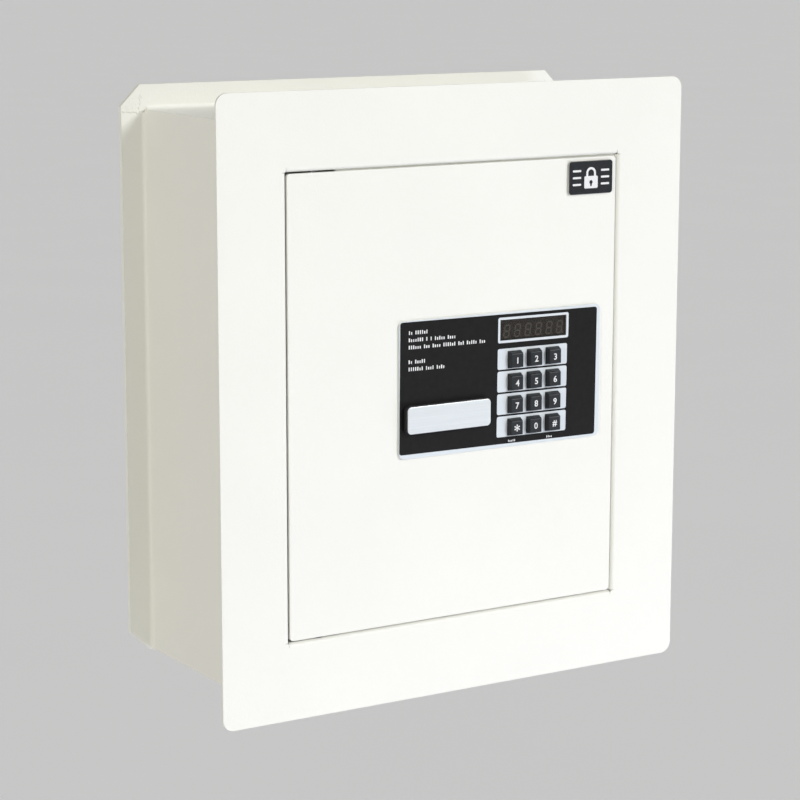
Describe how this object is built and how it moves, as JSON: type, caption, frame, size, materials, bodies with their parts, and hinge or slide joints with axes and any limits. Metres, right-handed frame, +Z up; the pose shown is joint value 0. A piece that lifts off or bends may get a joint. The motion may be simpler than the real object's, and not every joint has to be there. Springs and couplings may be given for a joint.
{
  "type": "wall safe",
  "caption": "Built-in wall safe: flanged box body with a nearly flush swing door, electronic keypad panel, motor-driven sliding bolts and an emergency lock under a cover.",
  "frame": {"origin": "centre of the four anchor holes, on the outer face of the back plate", "axes": "+X to the right seen from the front, +Y into the wall, +Z up"},
  "size_m": [0.39, 0.1619, 0.443],
  "materials": {
    "powder_coat": "satin off-white powder coat with a fine orange-peel texture",
    "zinc_steel": "zinc-plated steel",
    "bolt_steel": "ground steel",
    "silver_panel": "silver-painted moulding, satin",
    "label_film": "black printed film, satin",
    "key_plastic": "moulded black plastic, satin",
    "smoked_lens": "dark smoked window, gloss",
    "display_dark": "dark display body",
    "brushed_face": "aluminium brushed lengthways",
    "badge_dark": "dark grey enamel, satin",
    "brass": "machined brass",
    "nylon": "natural nylon",
    "circuit_board": "green solder mask",
    "silicone": "grey silicone",
    "black_plastic": "black moulded plastic",
    "red_plastic": "red moulded plastic",
    "motor_grey": "plated motor case",
    "cell_wrap": "printed battery wrap",
    "cable_red": "red insulation",
    "cable_black": "black insulation",
    "felt": "dark grey needled felt"
  },
  "bodies": {
    "cabinet": {"front_frame": "powder_coat", "body_wrap": "powder_coat", "body_floor": "powder_coat", "back_plate": "powder_coat", "door_stop": "powder_coat", "bolt_keeper": "zinc_steel", "pivot_bushes": "black_plastic", "shelf_rails": "powder_coat", "floor_mat": "felt"},
    "shelf": {"shelf": "powder_coat"},
    "door": {"door_plate": "powder_coat", "door_pan": "powder_coat", "hinge_lugs": "zinc_steel", "hinge_pins": "bolt_steel", "back_cover": "powder_coat", "cover_screws": "zinc_steel", "panel_base": "silver_panel", "panel_label": "label_film", "panel_nuts": "zinc_steel", "display_window": "smoked_lens", "display_module": "display_dark", "keypad_board": "circuit_board", "key_mat": "silicone", "board_screws": "zinc_steel", "badge": "badge_dark", "lock_cylinder": "brass", "lock_nut": "zinc_steel", "bolt_bushes": "nylon", "guide_posts": "bolt_steel", "gear_motor": "motor_grey", "motor_screws": "zinc_steel", "battery_box": "black_plastic", "batteries": "cell_wrap", "reset_switch": "black_plastic", "motor_cable": "cable_red", "battery_cable": "cable_black"},
    "override_cover": {"override_cover": "black_plastic", "override_cover_face": "brushed_face"},
    "lock_plug": {"lock_plug": "brass", "lock_cam": "zinc_steel", "cam_nut": "zinc_steel"},
    "bolt_carriage": {"bolt_carriage": "zinc_steel", "live_bolts": "bolt_steel", "bolt_screws": "zinc_steel"},
    "motor_pinion": {"motor_pinion": "brass"},
    "battery_lid": {"battery_lid": "black_plastic"},
    "reset_button": {"reset_button": "red_plastic"},
    "key_1": {"key_1": "key_plastic"},
    "key_2": {"key_2": "key_plastic"},
    "key_3": {"key_3": "key_plastic"},
    "key_4": {"key_4": "key_plastic"},
    "key_5": {"key_5": "key_plastic"},
    "key_6": {"key_6": "key_plastic"},
    "key_7": {"key_7": "key_plastic"},
    "key_8": {"key_8": "key_plastic"},
    "key_9": {"key_9": "key_plastic"},
    "key_star": {"key_star": "key_plastic"},
    "key_0": {"key_0": "key_plastic"},
    "key_hash": {"key_hash": "key_plastic"}
  },
  "joints": [
    {"name": "door_swing", "type": "hinge", "parent": "cabinet", "child": "door", "pos_m": [-0.1167, -0.1482, 0], "axis": [0, 0, -1], "range_deg": [0, 110]},
    {"name": "shelf_lift", "type": "slide", "parent": "cabinet", "child": "shelf", "axis": [0, 0, 1], "range_m": [0, 0.03]},
    {"name": "cover_removal", "type": "slide", "parent": "door", "child": "override_cover", "axis": [0, -1, 0], "range_m": [0, 0.03]},
    {"name": "lock_turn", "type": "hinge", "parent": "door", "child": "lock_plug", "pos_m": [-0.0124, -0.146, -0.0145], "axis": [0, 1, 0], "range_deg": [-90, 0]},
    {"name": "bolt_throw", "type": "slide", "parent": "door", "child": "bolt_carriage", "axis": [1, 0, 0], "range_m": [0, 0.02]},
    {"name": "pinion_spin", "type": "hinge", "parent": "door", "child": "motor_pinion", "pos_m": [-0.0024, -0.136, 0.0626], "axis": [0, 1, 0], "range_deg": [0, 170]},
    {"name": "battery_lid_removal", "type": "slide", "parent": "door", "child": "battery_lid", "axis": [0, 1, 0], "range_m": [0, 0.02]},
    {"name": "reset_press", "type": "slide", "parent": "door", "child": "reset_button", "axis": [0, -1, 0], "range_m": [0, 0.0015], "stiffness_N_per_m": 150},
    {"name": "key_1_press", "type": "slide", "parent": "door", "child": "key_1", "axis": [0, 1, 0], "range_m": [0, 0.0012], "stiffness_N_per_m": 150},
    {"name": "key_2_press", "type": "slide", "parent": "door", "child": "key_2", "axis": [0, 1, 0], "range_m": [0, 0.0012], "stiffness_N_per_m": 150},
    {"name": "key_3_press", "type": "slide", "parent": "door", "child": "key_3", "axis": [0, 1, 0], "range_m": [0, 0.0012], "stiffness_N_per_m": 150},
    {"name": "key_4_press", "type": "slide", "parent": "door", "child": "key_4", "axis": [0, 1, 0], "range_m": [0, 0.0012], "stiffness_N_per_m": 150},
    {"name": "key_5_press", "type": "slide", "parent": "door", "child": "key_5", "axis": [0, 1, 0], "range_m": [0, 0.0012], "stiffness_N_per_m": 150},
    {"name": "key_6_press", "type": "slide", "parent": "door", "child": "key_6", "axis": [0, 1, 0], "range_m": [0, 0.0012], "stiffness_N_per_m": 150},
    {"name": "key_7_press", "type": "slide", "parent": "door", "child": "key_7", "axis": [0, 1, 0], "range_m": [0, 0.0012], "stiffness_N_per_m": 150},
    {"name": "key_8_press", "type": "slide", "parent": "door", "child": "key_8", "axis": [0, 1, 0], "range_m": [0, 0.0012], "stiffness_N_per_m": 150},
    {"name": "key_9_press", "type": "slide", "parent": "door", "child": "key_9", "axis": [0, 1, 0], "range_m": [0, 0.0012], "stiffness_N_per_m": 150},
    {"name": "key_star_press", "type": "slide", "parent": "door", "child": "key_star", "axis": [0, 1, 0], "range_m": [0, 0.0012], "stiffness_N_per_m": 150},
    {"name": "key_0_press", "type": "slide", "parent": "door", "child": "key_0", "axis": [0, 1, 0], "range_m": [0, 0.0012], "stiffness_N_per_m": 150},
    {"name": "key_hash_press", "type": "slide", "parent": "door", "child": "key_hash", "axis": [0, 1, 0], "range_m": [0, 0.0012], "stiffness_N_per_m": 150}
  ],
  "couplings": [
    {"joint": "pinion_spin", "follows": "bolt_throw", "rad_per_m": 148.15}
  ]
}
